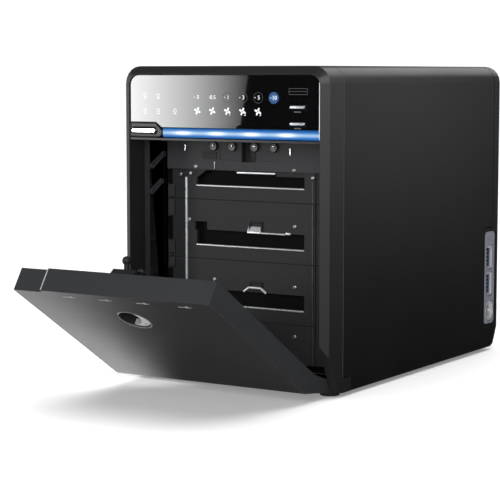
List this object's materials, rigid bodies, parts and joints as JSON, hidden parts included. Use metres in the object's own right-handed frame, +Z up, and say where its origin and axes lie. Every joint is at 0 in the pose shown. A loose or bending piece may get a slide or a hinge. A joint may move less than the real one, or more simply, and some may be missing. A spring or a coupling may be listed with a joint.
{
  "type": "network attached storage enclosure",
  "caption": "Upright desktop drive enclosure with a drop-down front door, drive bays on pull plates, touch-style display window, light bar and rear fan.",
  "frame": {"origin": "bottom centre of the whole object's box with the door open, at desk level", "axes": "+Y from the front door to the back, +Z up, +X to the right seen from the front"},
  "size_m": [0.134, 0.327, 0.18],
  "materials": {
    "satin_black": "satin near-black moulding and shell",
    "door_black": "finely brushed dark grey face with soft sheen",
    "inner_black": "matt black moulded plastic",
    "window_gloss": "polished black display window",
    "light_guide": "glowing blue light guide",
    "silver": "bright silver plated",
    "port_plate_grey": "blue-grey port plate",
    "port_metal": "plated connector shells",
    "circuit_board": "green solder mask",
    "heat_sink_metal": "extruded aluminium",
    "drive_casting": "cast drive housing with pressed lid",
    "sheet_steel": "zinc-plated sheet",
    "fastener_steel": "zinc-plated fasteners and pins",
    "rubber": "matt rubber"
  },
  "bodies": {
    "chassis": {"backplane": "circuit_board", "base_tray": "sheet_steel", "bay_wall_left": "inner_black", "bay_wall_right": "inner_black", "cage_top": "sheet_steel", "cage_wall_left": "sheet_steel", "cage_wall_right": "sheet_steel", "controller_chip": "inner_black", "cover": "satin_black", "display_board": "circuit_board", "display_window": "window_gloss", "fan_frame": "inner_black", "fan_guard": "inner_black", "fan_screw_1": "fastener_steel", "fan_screw_2": "fastener_steel", "fan_screw_3": "fastener_steel", "fan_screw_4": "fastener_steel", "foot_front_left": "rubber", "foot_front_right": "rubber", "foot_rear_left": "rubber", "foot_rear_right": "rubber", "front_bezel": "satin_black", "heat_sink": "heat_sink_metal", "io_board": "circuit_board", "led_light_bar": "light_guide", "main_board": "circuit_board", "port_plate": "port_plate_grey", "power_jack": "port_metal", "power_surround": "satin_black", "rear_frame": "satin_black", "sata_socket_1": "inner_black", "sata_socket_2": "inner_black", "sata_socket_3": "inner_black", "sata_socket_4": "inner_black", "usb_port_lower": "port_metal", "usb_port_upper": "port_metal"},
    "door": {"door_panel": "door_black", "door_liner": "inner_black", "finger_cup": "inner_black", "finger_lip": "silver", "retainer_block": "inner_black", "retainer_peg": "inner_black", "retainer_clip": "silver", "hinge_pin_left": "fastener_steel", "hinge_pin_right": "fastener_steel"},
    "power_key": {"power_button": "silver"},
    "mode_key": {"mode_button": "silver"},
    "fan_key": {"fan_button": "silver"},
    "fan": {"fan_rotor": "inner_black"},
    "drive_1": {"drive_pull_1": "inner_black", "hard_drive_1": "drive_casting", "top_pull_cap": "inner_black"},
    "drive_2": {"drive_pull_2": "inner_black", "hard_drive_2": "drive_casting"},
    "drive_3": {"drive_pull_3": "inner_black", "hard_drive_3": "drive_casting"},
    "drive_4": {"drive_pull_4": "inner_black", "hard_drive_4": "drive_casting"}
  },
  "joints": [
    {"name": "door_hinge", "type": "hinge", "parent": "chassis", "child": "door", "pos_m": [0, -0.04402, 0.0056], "axis": [-1, 0, 0], "range_deg": [0, 57.5]},
    {"name": "power_press", "type": "slide", "parent": "chassis", "child": "power_key", "axis": [0, 1, 0], "range_m": [0, 0.0012], "stiffness_N_per_m": 400, "springref_m": -0.001},
    {"name": "mode_press", "type": "slide", "parent": "chassis", "child": "mode_key", "axis": [0, 1, 0], "range_m": [0, 0.0008], "stiffness_N_per_m": 400, "springref_m": -0.001},
    {"name": "fan_key_press", "type": "slide", "parent": "chassis", "child": "fan_key", "axis": [0, 1, 0], "range_m": [0, 0.0008], "stiffness_N_per_m": 400, "springref_m": -0.001},
    {"name": "fan_spin", "type": "hinge", "parent": "chassis", "child": "fan", "pos_m": [0, 0.14698, 0.088], "axis": [0, 1, 0], "continuous": true},
    {"name": "drive_slide_1", "type": "slide", "parent": "chassis", "child": "drive_1", "axis": [0, -1, 0], "range_m": [0, 0.0065]},
    {"name": "drive_slide_2", "type": "slide", "parent": "chassis", "child": "drive_2", "axis": [0, -1, 0], "range_m": [0, 0.0065]},
    {"name": "drive_slide_3", "type": "slide", "parent": "chassis", "child": "drive_3", "axis": [0, -1, 0], "range_m": [0, 0.0065]},
    {"name": "drive_slide_4", "type": "slide", "parent": "chassis", "child": "drive_4", "axis": [0, -1, 0], "range_m": [0, 0.0065]}
  ]
}
